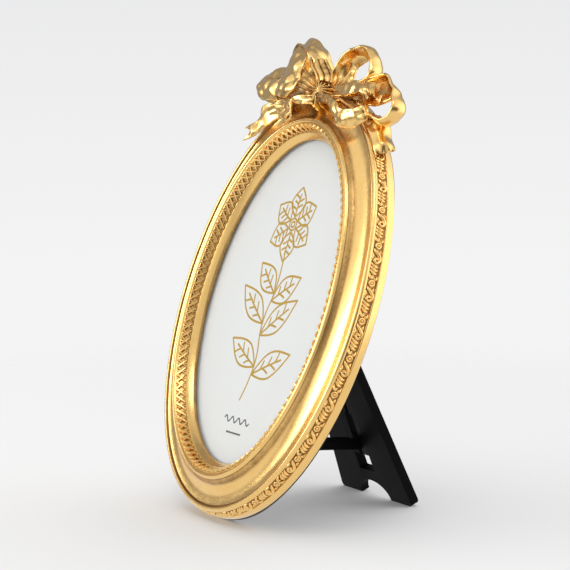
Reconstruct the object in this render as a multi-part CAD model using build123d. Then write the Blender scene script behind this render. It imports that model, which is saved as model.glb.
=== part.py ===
"""Oval table picture frame: gilded moulding with a ribbon bow, glazing, easel back and folding leg.

Millimetres. X runs to the right, Y to the back and Z up from the table. The origin is the middle of
the flat on which the frame rests. Most pieces are drawn in the frame's own plane, with x to the right,
y up the oval and z out of its front, and are then leaned back as the frame stands.
"""
import os
from math import cos, radians, sin, tan

from build123d import *

# Attitude
lean_angle = 18.8
leg_angle = 22.0
stay_slope_angle = 4.5

# Oval of the sight opening and the section of the moulding around it
sight_half_width = 59.0
sight_half_height = 84.0
side_arc_angle = 24.0
end_arc_angle = 54.0
side_curvature_share = 0.96
moulding_width = 26.2
lip_height = 6.3
lip_thickness = 2.0
slope_width = 2.7
slope_rise = 2.7
leaf_band_width = 3.4
leaf_band_rise = 4.1
crest_width = 3.2
crest_rise = 1.7
crest_drop = 1.3
cove_wall_width = 1.7
cove_wall_drop = 3.0
cove_sag = 1.1
groove_height = 9.9
fillet_height = 10.9
fillet_slope_width = 1.9
fillet_width = 0.4
outer_band_width = 2.4
side_wall_height = 5.0

# Glazing stack in the rebate
rebate_width = 6.0
stack_gap = 0.4
glass_thickness = 2.0
card_thickness = 0.5
filler_thickness = 3.0
board_thickness = 4.0

# Black ring on the moulding's back
rim_side_inset = 4.8
rim_end_inset = 0.3
rest_flat_depth = 0.6

# Swivel catches
button_angle = 42.0
button_set_out = 6.2
button_reach = 15.0
button_tail = 4.5
button_width = 8.0
button_thickness = 1.2
button_lift = 0.1
screw_radius = 1.2
screw_head_radius = 2.8
screw_head_height = 1.5
screw_length = 6.5
screw_gap = 0.05
head_gap = 0.1

# Leg
leg_foot_set_back = 93.0
leg_half_width = 32.0
leg_leaf_margin = 1.85
leg_thickness = 5.0
leg_corner_radius = 2.5
foot_flat_depth = 0.3
foot_half_gap = 13.5
foot_arch_height = 9.7

# Hinge of the leg
leaf_thickness = 1.0
leaf_half_width = 11.0
leaf_length = 11.0
leaf_board_gap = 1.0
knuckle_radius = 2.0
knuckle_gap = 0.3
middle_knuckle_half_length = 5.0
hinge_pin_radius = 0.9
pin_gap = 0.05
rivet_radius = 1.0
rivet_head_radius = 1.9
rivet_head_height = 0.7
rivet_spread_share = 0.7

# Stay arm, its bracket and the slot it runs in
stay_thickness = 2.4
stay_half_height = 3.2
stay_edge_set_in = 12.6
stay_pivot_stand_off = 5.4
stay_pin_radius = 1.0
stay_head_width = 6.4
stay_head_length = 2.0
stay_head_gap = 0.6
stay_notch_width = 2.0
stay_notch_depth = 1.0
stay_notch_set_back = 4.5
ear_thickness = 1.0
ear_gap = 0.3
ear_half_height = 2.6
bracket_thickness = 1.0
bracket_half_height = 8.5
slot_gap = 0.5
pocket_gap = 1.0
keyhole_half_width = 6.5
keyhole_height = 9.5
keyhole_set_down = 0.3

# Ribbon bow around its knot
bow_half_span = 74.0
bow_rise = 35.0
bow_knot_drop = 3.5
bow_ribbon_thickness = 1.8
bow_back_height = 1.0
bow_depth = 22.0
knot_offset = 2.5
knot_half_width = 7.5
knot_half_height = 9.5
knot_half_depth = 6.5
knot_middle_height = 10.5

# Each ribbon: places along its front edge, then along its back edge, as shares of the bow's half span
# sideways, of its rise upwards from the knot and of its depth
bow_ribbon_shares = {
    "bow_loop_upper_left": (
        ((-0.09, 0.07, 0.59), (-0.16, 0.19, 0.64), (-0.15, 0.39, 0.64), (-0.05, 0.42, 0.73),
         (-0.14, 0.55, 0.77), (-0.34, 0.75, 0.64), (-0.45, 0.78, 0.59), (-0.46, 0.47, 0.55),
         (-0.43, 0.32, 0.55), (-0.20, 0.11, 0.59)),
        ((-0.01, 0.14, 0.23), (-0.03, 0.29, 0.14), (-0.08, 0.48, 0.14), (-0.18, 0.74, 0.25),
         (-0.31, 0.91, 0.41), (-0.43, 0.79, 0.32), (-0.41, 0.67, 0.18), (-0.33, 0.51, 0.14),
         (-0.24, 0.32, 0.14), (-0.15, 0.19, 0.23)),
    ),
    "bow_loop_upper_right": (
        ((0.11, 0.09, 0.55), (0.09, 0.29, 0.55), (0.17, 0.54, 0.55), (0.24, 0.62, 0.55),
         (0.37, 0.65, 0.55), (0.46, 0.58, 0.50), (0.52, 0.29, 0.50), (0.49, 0.18, 0.55),
         (0.38, 0.08, 0.59), (0.19, 0.07, 0.59)),
        ((0.14, 0.11, 0.23), (0.20, 0.22, 0.14), (0.20, 0.44, 0.09), (0.24, 0.51, 0.09),
         (0.31, 0.55, 0.09), (0.41, 0.57, 0.11), (0.51, 0.37, 0.14), (0.45, 0.28, 0.18),
         (0.36, 0.17, 0.27), (0.18, 0.11, 0.32)),
    ),
    "bow_loop_side_left": (
        ((-0.04, 0.05, 0.59), (-0.19, 0.09, 0.61), (-0.36, 0.21, 0.64), (-0.62, 0.28, 0.59),
         (-0.77, 0.27, 0.55), (-0.87, 0.19, 0.50), (-0.82, 0.04, 0.50), (-0.68, -0.06, 0.55),
         (-0.48, -0.13, 0.59), (-0.26, -0.09, 0.66), (-0.04, -0.08, 0.59)),
        ((-0.04, 0.09, 0.36), (-0.19, 0.15, 0.32), (-0.39, 0.31, 0.23), (-0.64, 0.52, 0.23),
         (-0.80, 0.42, 0.18), (-0.85, 0.37, 0.14), (-0.79, 0.37, 0.09), (-0.65, 0.38, 0.09),
         (-0.49, 0.29, 0.14), (-0.27, 0.11, 0.27), (-0.04, -0.03, 0.41)),
    ),
    "bow_loop_side_right": (
        ((0.07, -0.06, 0.59), (0.20, -0.06, 0.59), (0.38, -0.01, 0.55), (0.57, 0.18, 0.55),
         (0.74, 0.24, 0.52), (0.82, 0.08, 0.52), (0.89, -0.11, 0.55), (0.93, -0.26, 0.55),
         (0.86, -0.41, 0.57), (0.76, -0.38, 0.64), (0.56, -0.26, 0.64), (0.35, -0.12, 0.68)),
        ((0.07, -0.02, 0.36), (0.23, -0.05, 0.34), (0.45, -0.13, 0.32), (0.59, -0.16, 0.23),
         (0.69, -0.09, 0.14), (0.78, -0.03, 0.16), (0.84, -0.09, 0.18), (0.91, -0.25, 0.18),
         (0.80, -0.39, 0.20), (0.72, -0.33, 0.32), (0.59, -0.25, 0.41), (0.36, -0.11, 0.45)),
    ),
    "bow_curl_front_left": (
        ((0.03, -0.05, 0.66), (-0.08, -0.08, 0.80), (-0.15, -0.13, 0.86), (-0.15, -0.23, 0.86),
         (-0.12, -0.38, 0.82), (-0.22, -0.43, 0.77), (-0.32, -0.32, 0.77), (-0.39, -0.21, 0.77),
         (-0.33, -0.13, 0.77), (-0.24, -0.13, 0.77)),
        ((0.04, -0.19, 0.64), (-0.07, -0.21, 0.73), (-0.20, -0.19, 0.73), (-0.30, -0.22, 0.61),
         (-0.34, -0.26, 0.55), (-0.38, -0.26, 0.52), (-0.40, -0.23, 0.52), (-0.41, -0.19, 0.52),
         (-0.39, -0.18, 0.52), (-0.35, -0.19, 0.55)),
    ),
    "bow_curl_front_right": (
        ((0.07, -0.02, 0.68), (0.25, -0.09, 0.77), (0.41, -0.21, 0.86), (0.50, -0.32, 0.86),
         (0.60, -0.32, 0.82), (0.67, -0.26, 0.73), (0.60, -0.12, 0.59), (0.49, 0.02, 0.50),
         (0.37, 0.05, 0.50), (0.22, -0.02, 0.59)),
        ((0.08, -0.15, 0.64), (0.29, -0.23, 0.73), (0.42, -0.43, 0.77), (0.47, -0.55, 0.68),
         (0.57, -0.56, 0.61), (0.70, -0.45, 0.57), (0.66, -0.29, 0.50), (0.53, -0.15, 0.45),
         (0.41, -0.11, 0.45), (0.25, -0.12, 0.55)),
    ),
    "bow_tail_left": (
        ((-0.55, -0.06, 0.50), (-0.67, -0.18, 0.55), (-0.65, -0.35, 0.59), (-0.70, -0.45, 0.64),
         (-0.77, -0.53, 0.66)),
        ((-0.41, -0.31, 0.41), (-0.50, -0.36, 0.43), (-0.59, -0.51, 0.50), (-0.66, -0.65, 0.59),
         (-0.78, -0.73, 0.64)),
    ),
    "bow_tail_right": (
        ((0.62, -0.36, 0.43), (0.66, -0.50, 0.43), (0.71, -0.63, 0.41), (0.77, -0.77, 0.41),
         (0.83, -0.90, 0.40)),
        ((0.64, -0.29, 0.14), (0.74, -0.42, 0.05), (0.78, -0.56, 0.02), (0.84, -0.69, 0.02),
         (0.89, -0.79, 0.02)),
    ),
}
tailed_ribbons = ("bow_tail_left", "bow_tail_right")
tail_notch_share = 0.85

overrun = 5.0

# Worked-out places
outer_half_height = sight_half_height + moulding_width
rim_half_width = sight_half_width + moulding_width - rim_side_inset
rim_half_height = outer_half_height - rim_end_inset
rebate_offset = rebate_width + stack_gap
glass_back = lip_height - glass_thickness
card_back = glass_back - card_thickness
filler_back = card_back - filler_thickness
board_back = filler_back - board_thickness
lean = radians(lean_angle)
tilt = radians(leg_angle)
centre_height = rim_half_height * cos(lean) - board_back * sin(lean) - rest_flat_depth
flat_front = rest_flat_depth / tan(lean)
flat_rear = rest_flat_depth * tan(lean)
centre_set_back = (rim_half_height * sin(lean) + board_back * cos(lean)
                   + (flat_front - flat_rear) / 2)
frame_place = Plane(
    origin=(0, centre_set_back, centre_height),
    x_dir=(1, 0, 0),
    z_dir=(0, -cos(lean), sin(lean)),
).location

hinge_level = board_back - knuckle_radius - knuckle_gap
leg_front = board_back - leaf_board_gap - leaf_thickness - hinge_level
open_angle = lean_angle + leg_angle
hinge_base_back = centre_set_back - hinge_level * cos(lean)
hinge_base_height = centre_height + hinge_level * sin(lean)
hinge_rise = ((leg_foot_set_back - hinge_base_back - hinge_base_height * tan(tilt))
              / (sin(lean) + cos(lean) * tan(tilt)))
hinge_height = hinge_base_height + hinge_rise * cos(lean)
hinge_back = hinge_base_back + hinge_rise * sin(lean)
leg_length = (hinge_height - leg_front * sin(tilt) + foot_flat_depth) / cos(tilt)
leg_top = knuckle_radius + knuckle_gap
hinge_place = frame_place * Pos(0, hinge_rise, hinge_level)
leg_place = hinge_place * Rot(open_angle, 0, 0)

stay_pivot_drop = sight_half_height - stay_edge_set_in
stay_level = board_back - stay_pivot_stand_off
stay_place = frame_place * Pos(0, -stay_pivot_drop, stay_level)
stay_slope = radians(stay_slope_angle)
stay_open_angle = 90 - lean_angle + stay_slope_angle
stay_pivot_back = centre_set_back - stay_pivot_drop * sin(lean) - stay_level * cos(lean)
stay_pivot_height = centre_height - stay_pivot_drop * cos(lean) + stay_level * sin(lean)
# Distance along the stay from its pivot to the leg's rear face, on the stay's centre line
leg_rear = leg_front - leg_thickness
crossing_angle = tilt + stay_slope
leg_rear_along = ((hinge_back - stay_pivot_back) * cos(tilt) + (hinge_height - stay_pivot_height) * sin(tilt)
                  - leg_rear) / cos(crossing_angle)
head_start = leg_rear_along + stay_half_height * tan(crossing_angle) + stay_head_gap
stay_length = head_start + stay_head_length
# Where the stay crosses the leg's rear face when open, measured down the leg from the hinge
crossing_back = stay_pivot_back + leg_rear_along * cos(stay_slope) - hinge_back
crossing_drop = hinge_height - stay_pivot_height + leg_rear_along * sin(stay_slope)
stay_crossing = crossing_back * sin(tilt) + crossing_drop * cos(tilt)


def oval_arcs(half_width, half_height):
    """Eight tangent arcs that follow an upright ellipse: centre, radius, start angle and sweep."""
    side_radius = side_curvature_share * half_height ** 2 / half_width
    c1, s1 = cos(radians(side_arc_angle)), sin(radians(side_arc_angle))
    c2, s2 = cos(radians(end_arc_angle)), sin(radians(end_arc_angle))
    # The shoulder and end arcs close the quadrant on both axes
    across = side_radius * (1 - c1) - half_width
    upward = half_height - side_radius * s1
    divisor = (c2 - c1) * (1 - s2) + c2 * (s2 - s1)
    shoulder_radius = (across * (1 - s2) + upward * c2) / divisor
    end_radius = ((c2 - c1) * upward - (s2 - s1) * across) / divisor
    side_x = half_width - side_radius
    shoulder_x = side_x + c1 * (side_radius - shoulder_radius)
    shoulder_y = s1 * (side_radius - shoulder_radius)
    end_y = half_height - end_radius
    shoulder_sweep = end_arc_angle - side_arc_angle
    side_sweep = 2 * side_arc_angle
    end_sweep = 180 - 2 * end_arc_angle
    return [
        ((side_x, 0), side_radius, -side_arc_angle, side_sweep),
        ((shoulder_x, shoulder_y), shoulder_radius, side_arc_angle, shoulder_sweep),
        ((0, end_y), end_radius, end_arc_angle, end_sweep),
        ((-shoulder_x, shoulder_y), shoulder_radius, 180 - end_arc_angle, shoulder_sweep),
        ((-side_x, 0), side_radius, 180 - side_arc_angle, side_sweep),
        ((-shoulder_x, -shoulder_y), shoulder_radius, 180 + side_arc_angle, shoulder_sweep),
        ((0, -end_y), end_radius, 180 + end_arc_angle, end_sweep),
        ((shoulder_x, -shoulder_y), shoulder_radius, 360 - end_arc_angle, shoulder_sweep),
    ]


sight_arcs = oval_arcs(sight_half_width, sight_half_height)
rim_arcs = oval_arcs(rim_half_width, rim_half_height)


def oval_face(arcs, offset=0):
    """Flat oval bounded by the arcs, moved outwards by the offset."""
    edges = [CenterArc(centre, radius + offset, start, sweep) for centre, radius, start, sweep in arcs]
    return make_face(edges)


def oval_plate(arcs, offset, back, front):
    """Oval plate between two levels of the frame."""
    return Pos(0, 0, back) * extrude(oval_face(arcs, offset), front - back)


def oval_point(offset, angle):
    """Place and outward direction on the parallel oval where its normal has the given angle."""
    for centre, radius, start, sweep in sight_arcs:
        if start <= angle <= start + sweep:
            reach = radius + offset
            x = centre[0] + reach * cos(radians(angle))
            y = centre[1] + reach * sin(radians(angle))
            return x, y
    return oval_point(offset, angle + 360)


def block(x0, x1, y0, y1, z0, z1):
    """Box between pairs of limits."""
    size = Box(x1 - x0, y1 - y0, z1 - z0)
    return Pos((x0 + x1) / 2, (y0 + y1) / 2, (z0 + z1) / 2) * size


def rod(radius, start, length, axis="Z"):
    """Round bar from a start level along Z, or centred on X."""
    bar = Cylinder(radius, length, align=(Align.CENTER, Align.CENTER, Align.MIN))
    if axis == "X":
        return Pos(-length / 2, 0, 0) * Rot(0, 90, 0) * bar
    return Pos(0, 0, start) * bar


def moulding_section():
    """Section of the moulding: x outwards from the sight edge, y up from its back."""
    sight_top = lip_height + lip_thickness
    slope = (slope_width, sight_top + slope_rise)
    leaf = (slope[0] + leaf_band_width, slope[1] + leaf_band_rise)
    crest = (leaf[0] + crest_width / 2, leaf[1] + crest_rise)
    crest_outer = (leaf[0] + crest_width, crest[1] - crest_drop)
    cove_top = (crest_outer[0] + cove_wall_width, crest_outer[1] - cove_wall_drop)
    band_top = (moulding_width - outer_band_width, fillet_height)
    fillet = (band_top[0] - fillet_width, fillet_height)
    groove = (fillet[0] - fillet_slope_width, groove_height)
    cove_middle = ((cove_top[0] + groove[0]) / 2, (cove_top[1] + groove[1]) / 2 - cove_sag)
    outline = [
        Polyline((0, lip_height), (0, sight_top), slope, leaf),
        ThreePointArc(leaf, crest, crest_outer),
        Line(crest_outer, cove_top),
        ThreePointArc(cove_top, cove_middle, groove),
        Polyline(
            groove, fillet, band_top, (moulding_width, side_wall_height), (moulding_width, 0),
            (rebate_offset, 0), (rebate_offset, lip_height), (0, lip_height),
        ),
    ]
    return make_face(outline)


def button_places():
    """Pivot places and inward directions of the four swivel catches."""
    places = []
    for angle in (button_angle, 180 - button_angle, 180 + button_angle, 360 - button_angle):
        x, y = oval_point(rebate_offset + button_set_out, angle)
        places.append(Pos(x, y, board_back) * Rot(0, 0, angle + 180))
    return places


def make_moulding():
    """Moulding turned arc by arc around the oval, with blind holes for the catch screws."""
    section = moulding_section()
    ring = None
    for centre, radius, start, sweep in sight_arcs:
        outward = (cos(radians(start)), sin(radians(start)))
        edge = (centre[0] + radius * outward[0], centre[1] + radius * outward[1], 0)
        start_plane = Plane(origin=edge, x_dir=(*outward, 0), z_dir=(outward[1], -outward[0], 0))
        turned = revolve(start_plane * section, Axis((*centre, 0), (0, 0, 1)), sweep)
        ring = turned if ring is None else ring + turned
    for place in button_places():
        ring -= place * rod(screw_radius + screw_gap, -overrun, screw_length + screw_gap + overrun)
    return ring


def make_rim():
    """Black ring glued to the moulding's back, open where the easel board fits."""
    rim = oval_plate(rim_arcs, 0, board_back, 0)
    rim -= oval_plate(sight_arcs, rebate_offset, board_back - overrun, overrun)
    for place in button_places():
        rim -= place * rod(screw_radius + screw_gap, -overrun, -board_back + 2 * overrun)
    return rim


def make_button(place):
    """Swivel catch: a flat plate with round ends, turning on its screw over the board's edge."""
    half = button_width / 2
    bar = block(-button_tail + half, button_reach - half, -half, half, 0, button_thickness)
    bar += Pos(button_reach - half, 0, 0) * rod(half, 0, button_thickness)
    bar += Pos(half - button_tail, 0, 0) * rod(half, 0, button_thickness)
    bar -= rod(screw_radius + screw_gap, -overrun, button_thickness + 2 * overrun)
    return place * Pos(0, 0, -button_thickness - button_lift) * bar


def make_screw(place):
    """Round-headed screw that holds one catch."""
    seat = button_thickness + button_lift + head_gap
    screw = rod(screw_radius, -seat, seat + screw_length)
    screw += rod(screw_head_radius, -seat - screw_head_height, screw_head_height)
    return place * screw


def hinge_rivet_places():
    """Places of the rivets across the hinge leaves and their distance from the pin."""
    spread = rivet_spread_share * leaf_half_width
    return (-spread, spread), leg_top + leaf_length / 2


def make_easel_board():
    """Board that closes the rebate, holed for the hinge and bracket rivets."""
    board = oval_plate(sight_arcs, rebate_width, board_back, filler_back)
    across, along = hinge_rivet_places()
    for x in across:
        board -= Pos(x, hinge_rise + along, 0) * rod(rivet_radius, board_back - overrun, board_thickness + overrun)
    for y in bracket_rivet_places():
        board -= Pos(0, y, 0) * rod(rivet_radius, board_back - overrun, board_thickness + overrun)
    return board


def knuckle(x0, x1):
    """Piece of the hinge barrel between two places along the pin."""
    return Pos((x0 + x1) / 2, 0, 0) * rod(knuckle_radius, 0, x1 - x0, "X")


def make_board_leaf():
    """Leaf riveted to the board above the pin, with the two outer knuckles."""
    across, along = hinge_rivet_places()
    back = -hinge_level + board_back - leaf_thickness
    leaf = block(-leaf_half_width, leaf_half_width, leg_top, leg_top + leaf_length, back, back + leaf_thickness)
    inner = middle_knuckle_half_length + knuckle_gap
    for side in (-1, 1):
        x0, x1 = sorted((side * inner, side * leaf_half_width))
        leaf += block(x0, x1, 0, leg_top, back, back + leaf_thickness)
        leaf += knuckle(x0, x1)
    leaf -= rod(hinge_pin_radius, 0, 2 * (leaf_half_width + overrun), "X")
    for x in across:
        leaf -= Pos(x, along, 0) * rod(rivet_radius, back - overrun, leaf_thickness + 2 * overrun)
    return hinge_place * leaf


def make_leg_leaf():
    """Leaf riveted to the front of the leg below the pin, with the middle knuckle."""
    across, along = hinge_rivet_places()
    top = middle_knuckle_half_length
    front = leg_front + leaf_thickness
    leaf = block(-leaf_half_width, leaf_half_width, -leg_top - leaf_length, -leg_top, leg_front, front)
    leaf += block(-top, top, -leg_top, 0, leg_front, front)
    leaf += knuckle(-top, top)
    leaf -= rod(hinge_pin_radius + pin_gap, 0, 2 * (leaf_half_width + overrun), "X")
    for x in across:
        leaf -= Pos(x, -along, 0) * rod(rivet_radius, leg_front - overrun, leaf_thickness + 2 * overrun)
    return leg_place * leaf


def make_hinge_pin():
    """Pin through the three knuckles."""
    return hinge_place * rod(hinge_pin_radius, 0, 2 * leaf_half_width, "X")


def rivet(length):
    """Rivet whose head lies below level zero and whose shank rises from it."""
    return rod(rivet_radius, 0, length) + rod(rivet_head_radius, -rivet_head_height, rivet_head_height)


def make_board_rivets():
    """Rivets through the board leaf into the board."""
    across, along = hinge_rivet_places()
    seat = board_back - leaf_thickness
    length = board_thickness + leaf_thickness
    return [frame_place * Pos(x, hinge_rise + along, seat) * rivet(length) for x in across]


def make_leg_rivets():
    """Rivets from the back of the leg into its leaf."""
    across, along = hinge_rivet_places()
    length = leg_thickness + leaf_thickness
    return [leg_place * Pos(x, -along, leg_rear) * rivet(length) for x in across]


def leg_slot():
    """Slot that the stay runs in: pocket for its head, window for its bracket, keyhole under it."""
    depth = (leg_rear - overrun, leg_front + overrun)
    slot_half = stay_thickness / 2 + slot_gap
    head_half = stay_head_width / 2 + slot_gap
    ear_half = stay_thickness / 2 + ear_gap + ear_thickness + slot_gap
    folded_pivot = hinge_rise + stay_pivot_drop
    folded_tip = folded_pivot - stay_length
    head_end = folded_tip + stay_head_length + pocket_gap
    keyhole_top = stay_crossing + stay_half_height / cos(crossing_angle) + keyhole_set_down
    slot_top = folded_tip - pocket_gap
    window = stay_half_height + pocket_gap
    slot = block(-slot_half, slot_half, -keyhole_top - keyhole_height, -slot_top, *depth)
    slot += block(-head_half, head_half, -head_end, -slot_top, *depth)
    slot += block(-ear_half, ear_half, -folded_pivot - window, -folded_pivot + bracket_half_height + pocket_gap,
                  *depth)
    slot += block(-keyhole_half_width, keyhole_half_width, -keyhole_top - keyhole_height, -keyhole_top, *depth)
    return slot


def make_leg():
    """Tapered leg with an arch between its feet, cut flat where the feet stand on the table."""
    top_half_width = leaf_half_width + leg_leaf_margin
    outline = Polyline(
        (-leg_half_width, -leg_length), (leg_half_width, -leg_length),
        (top_half_width, -leg_top), (-top_half_width, -leg_top), close=True,
    )
    panel = fillet(make_face(outline).vertices(), leg_corner_radius)
    leg = Pos(0, 0, leg_rear) * extrude(panel, leg_thickness)
    arch = extrude(Ellipse(foot_half_gap, foot_arch_height), leg_thickness + 2 * overrun)
    leg -= Pos(0, -leg_length, leg_rear - overrun) * arch
    leg -= leg_slot()
    across, along = hinge_rivet_places()
    for x in across:
        leg -= Pos(x, -along, 0) * rod(rivet_radius, leg_rear - overrun, leg_thickness + 2 * overrun)
    reach = leg_half_width + overrun
    below_table = block(-reach, reach, -leg_length, 2 * leg_length, -leg_length, 0)
    return leg_place * leg - below_table


def make_stay():
    """Flat stay on edge, pivoted on the board, with a head behind the leg and a notch on its top edge."""
    half = stay_thickness / 2
    bar = block(-half, half, 0, stay_length, -stay_half_height, stay_half_height)
    bar += rod(stay_half_height, 0, stay_thickness, "X")
    head_half = stay_head_width / 2
    bar += block(-head_half, head_half, head_start, stay_length, -stay_half_height, stay_half_height)
    notch_end = leg_rear_along - leg_thickness - stay_notch_set_back
    bar -= block(-half - overrun, half + overrun, notch_end - stay_notch_width, notch_end,
                 stay_half_height - stay_notch_depth, stay_half_height + overrun)
    bar -= rod(stay_pin_radius + pin_gap, 0, stay_thickness + 2 * overrun, "X")
    return stay_place * Rot(-stay_open_angle, 0, 0) * bar


def bracket_rivet_places():
    """Heights on the board of the rivets above and below the stay's pivot."""
    spread = rivet_spread_share * bracket_half_height
    return -stay_pivot_drop - spread, -stay_pivot_drop + spread


def make_bracket():
    """Bracket of a base plate and two ears that carry the stay's pin."""
    inner = stay_thickness / 2 + ear_gap
    outer = inner + ear_thickness
    base_back = stay_pivot_stand_off - bracket_thickness
    bracket = block(-outer, outer, -bracket_half_height, bracket_half_height, base_back, stay_pivot_stand_off)
    for side in (-1, 1):
        x0, x1 = sorted((side * inner, side * outer))
        bracket += block(x0, x1, -ear_half_height, ear_half_height, 0, base_back)
        bracket += Pos((x0 + x1) / 2, 0, 0) * rod(ear_half_height, 0, ear_thickness, "X")
    bracket -= rod(stay_pin_radius, 0, 2 * (outer + overrun), "X")
    for y in bracket_rivet_places():
        bracket -= Pos(0, y + stay_pivot_drop, 0) * rod(rivet_radius, 0, stay_pivot_stand_off + overrun)
    return stay_place * bracket


def make_stay_pin():
    """Pin through the ears and the stay."""
    return stay_place * rod(stay_pin_radius, 0, stay_thickness + 2 * (ear_gap + ear_thickness), "X")


def make_bracket_rivets():
    """Rivets that hold the bracket to the board."""
    seat = board_back - bracket_thickness
    length = board_thickness + bracket_thickness
    return [frame_place * Pos(0, y, seat) * rivet(length) for y in bracket_rivet_places()]


def bow_place(share):
    """Place in the frame from shares of the bow's half span, rise and depth."""
    height = outer_half_height - bow_knot_drop + share[1] * bow_rise
    return Vector(share[0] * bow_half_span, height, bow_back_height + share[2] * bow_depth)


def ribbon_corners(fronts, backs):
    """Corners of the ribbon's cross-section at each place along its two edges."""
    middles = [(front + back) / 2 for front, back in zip(fronts, backs)]
    corners = []
    for step, (front, back) in enumerate(zip(fronts, backs)):
        run = middles[min(step + 1, len(middles) - 1)] - middles[max(step - 1, 0)]
        out = run.cross(back - front).normalized() * bow_ribbon_thickness / 2
        corners.append((front + out, back + out, back - out, front - out))
    return corners


def swallow_tail(fronts, backs):
    """Wedge that notches the end of a ribbon."""
    before = (fronts[-2] + backs[-2]) / 2
    run = (fronts[-1] + backs[-1]) / 2 - before
    deep = before + run * (1 - tail_notch_share)
    outline = Polyline(fronts[-1], fronts[-1] + run, backs[-1] + run, backs[-1], deep, close=True)
    return extrude(make_face(outline), bow_ribbon_thickness, both=True)


def make_ribbon(name):
    """Ribbon bent between its front and back edge: four faces along it and two flat ends."""
    fronts, backs = [[bow_place(share) for share in edge] for edge in bow_ribbon_shares[name]]
    corners = ribbon_corners(fronts, backs)
    spacing = [step / (len(corners) - 1) for step in range(len(corners))]
    lines = [Edge.make_spline(line, parameters=spacing) for line in zip(*corners)]
    faces = [Face.make_surface_from_curves(*pair) for pair in zip(lines, lines[1:] + lines[:1])]
    faces += [make_face(Polyline(*end, close=True)).face() for end in (corners[0], corners[-1])]
    ribbon = Solid(Shell(faces))
    return ribbon - swallow_tail(fronts, backs) if name in tailed_ribbons else ribbon


def make_knot():
    """Bud of gathered ribbon in the middle of the bow."""
    bud = scale(Sphere(1), by=(knot_half_width, knot_half_height, knot_half_depth))
    return Pos(knot_offset, outer_half_height - bow_knot_drop, knot_middle_height) * bud


def largest(shape):
    """Main solid of a cut shape."""
    return max(shape.solids(), key=lambda solid: solid.volume)


def make_bow(ring, rim):
    """Bow pieces, each cut where it meets the moulding and the pieces laid before it."""
    pieces = {"bow_knot": largest(make_knot() - ring - rim)}
    ribbons = {name: make_ribbon(name) for name in bow_ribbon_shares}
    for name, ribbon in ribbons.items():
        for neighbour in (ring, *pieces.values()):
            ribbon = ribbon - neighbour
        pieces[name] = largest(ribbon)
    return pieces


def make_rest_flat(rim):
    """Rim as it stands, cut flat where it rests on the table."""
    reach = rim_half_height + overrun
    return frame_place * rim - block(-reach, reach, -reach, reach, -reach, 0)


def build():
    """All pieces by name, in place."""
    ring = make_moulding()
    rim = make_rim()
    nodes = {
        "moulding_ring": frame_place * ring,
        "rear_rim": make_rest_flat(rim),
        "glass": frame_place * oval_plate(sight_arcs, rebate_width, glass_back, lip_height),
        "insert_card": frame_place * oval_plate(sight_arcs, rebate_width, card_back, glass_back),
        "filler_board": frame_place * oval_plate(sight_arcs, rebate_width, filler_back, card_back),
        "easel_board": frame_place * make_easel_board(),
    }
    for name, piece in make_bow(ring, rim).items():
        nodes[name] = frame_place * piece
    for number, place in enumerate(button_places(), 1):
        nodes[f"turn_button_{number}"] = make_button(frame_place * place)
    nodes |= {
        "button_screws": Compound(children=[make_screw(frame_place * place) for place in button_places()]),
        "strut": make_leg(),
        "hinge_leaf_board": make_board_leaf(),
        "hinge_leaf_strut": make_leg_leaf(),
        "hinge_pin": make_hinge_pin(),
        "hinge_board_rivets": Compound(children=make_board_rivets()),
        "hinge_strut_rivets": Compound(children=make_leg_rivets()),
        "stay_arm": make_stay(),
        "stay_bracket": make_bracket(),
        "stay_pin": make_stay_pin(),
        "bracket_rivets": Compound(children=make_bracket_rivets()),
    }
    return nodes


def main():
    os.makedirs("parts", exist_ok=True)
    nodes = build()
    for name, piece in nodes.items():
        export_step(piece, f"parts/{name}.step")
    size = Compound(children=list(nodes.values())).bounding_box()
    print("overall", size.min, size.max)
    print("hinge at", hinge_back, hinge_height, "opens", open_angle, "leg length", leg_length)
    print("stay pivot at", stay_pivot_back, stay_pivot_height, "opens", stay_open_angle, "length", stay_length)
    for number, place in enumerate(button_places(), 1):
        print("catch", number, (frame_place * place).position)


main()
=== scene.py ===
# %% [markdown]
# # An oval picture frame, gilded and crowned by a bow
# The imported CAD model is the frame that everything here is built around. It is loaded first. The
# finished looks have to stay inside it. The frame leans back on its leg, so most pieces are drawn
# lying flat, x to the right, y up the oval and z out of the front, and are then stood up in one move.

# %% Load the CAD model and set the measures
import math

import bpy
from mathutils import Matrix, Vector, noise


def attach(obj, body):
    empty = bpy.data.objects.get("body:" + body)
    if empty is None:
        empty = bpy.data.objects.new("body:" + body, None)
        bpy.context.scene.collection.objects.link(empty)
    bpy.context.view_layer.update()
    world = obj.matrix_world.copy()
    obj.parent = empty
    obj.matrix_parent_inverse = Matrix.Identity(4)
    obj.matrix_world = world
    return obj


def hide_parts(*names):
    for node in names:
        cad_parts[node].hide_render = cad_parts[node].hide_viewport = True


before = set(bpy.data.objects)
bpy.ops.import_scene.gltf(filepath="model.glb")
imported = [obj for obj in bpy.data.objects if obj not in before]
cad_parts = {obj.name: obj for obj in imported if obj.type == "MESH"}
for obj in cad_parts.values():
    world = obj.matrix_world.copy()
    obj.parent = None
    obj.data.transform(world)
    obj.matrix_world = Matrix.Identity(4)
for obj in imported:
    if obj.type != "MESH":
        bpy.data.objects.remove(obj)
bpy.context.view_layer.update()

mm = 0.001
lean = math.radians(18.8)
oval_centre = Vector((0, 33.167, 104.468)) * mm
standing = Matrix.Translation(oval_centre) @ Matrix.Rotation(math.pi / 2 - lean, 4, "X")
sight_half_width = 59.0 * mm
sight_half_height = 84.0 * mm

# %% [markdown]
# ## Helpers for the bench
# Operators work on whatever is selected, so each step clears the selection and picks its own piece.
# `stand` puts a flat piece at the frame's lean and applies that to its mesh, so that every object ends
# at the origin, unturned and unscaled, as the CAD nodes are.

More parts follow.
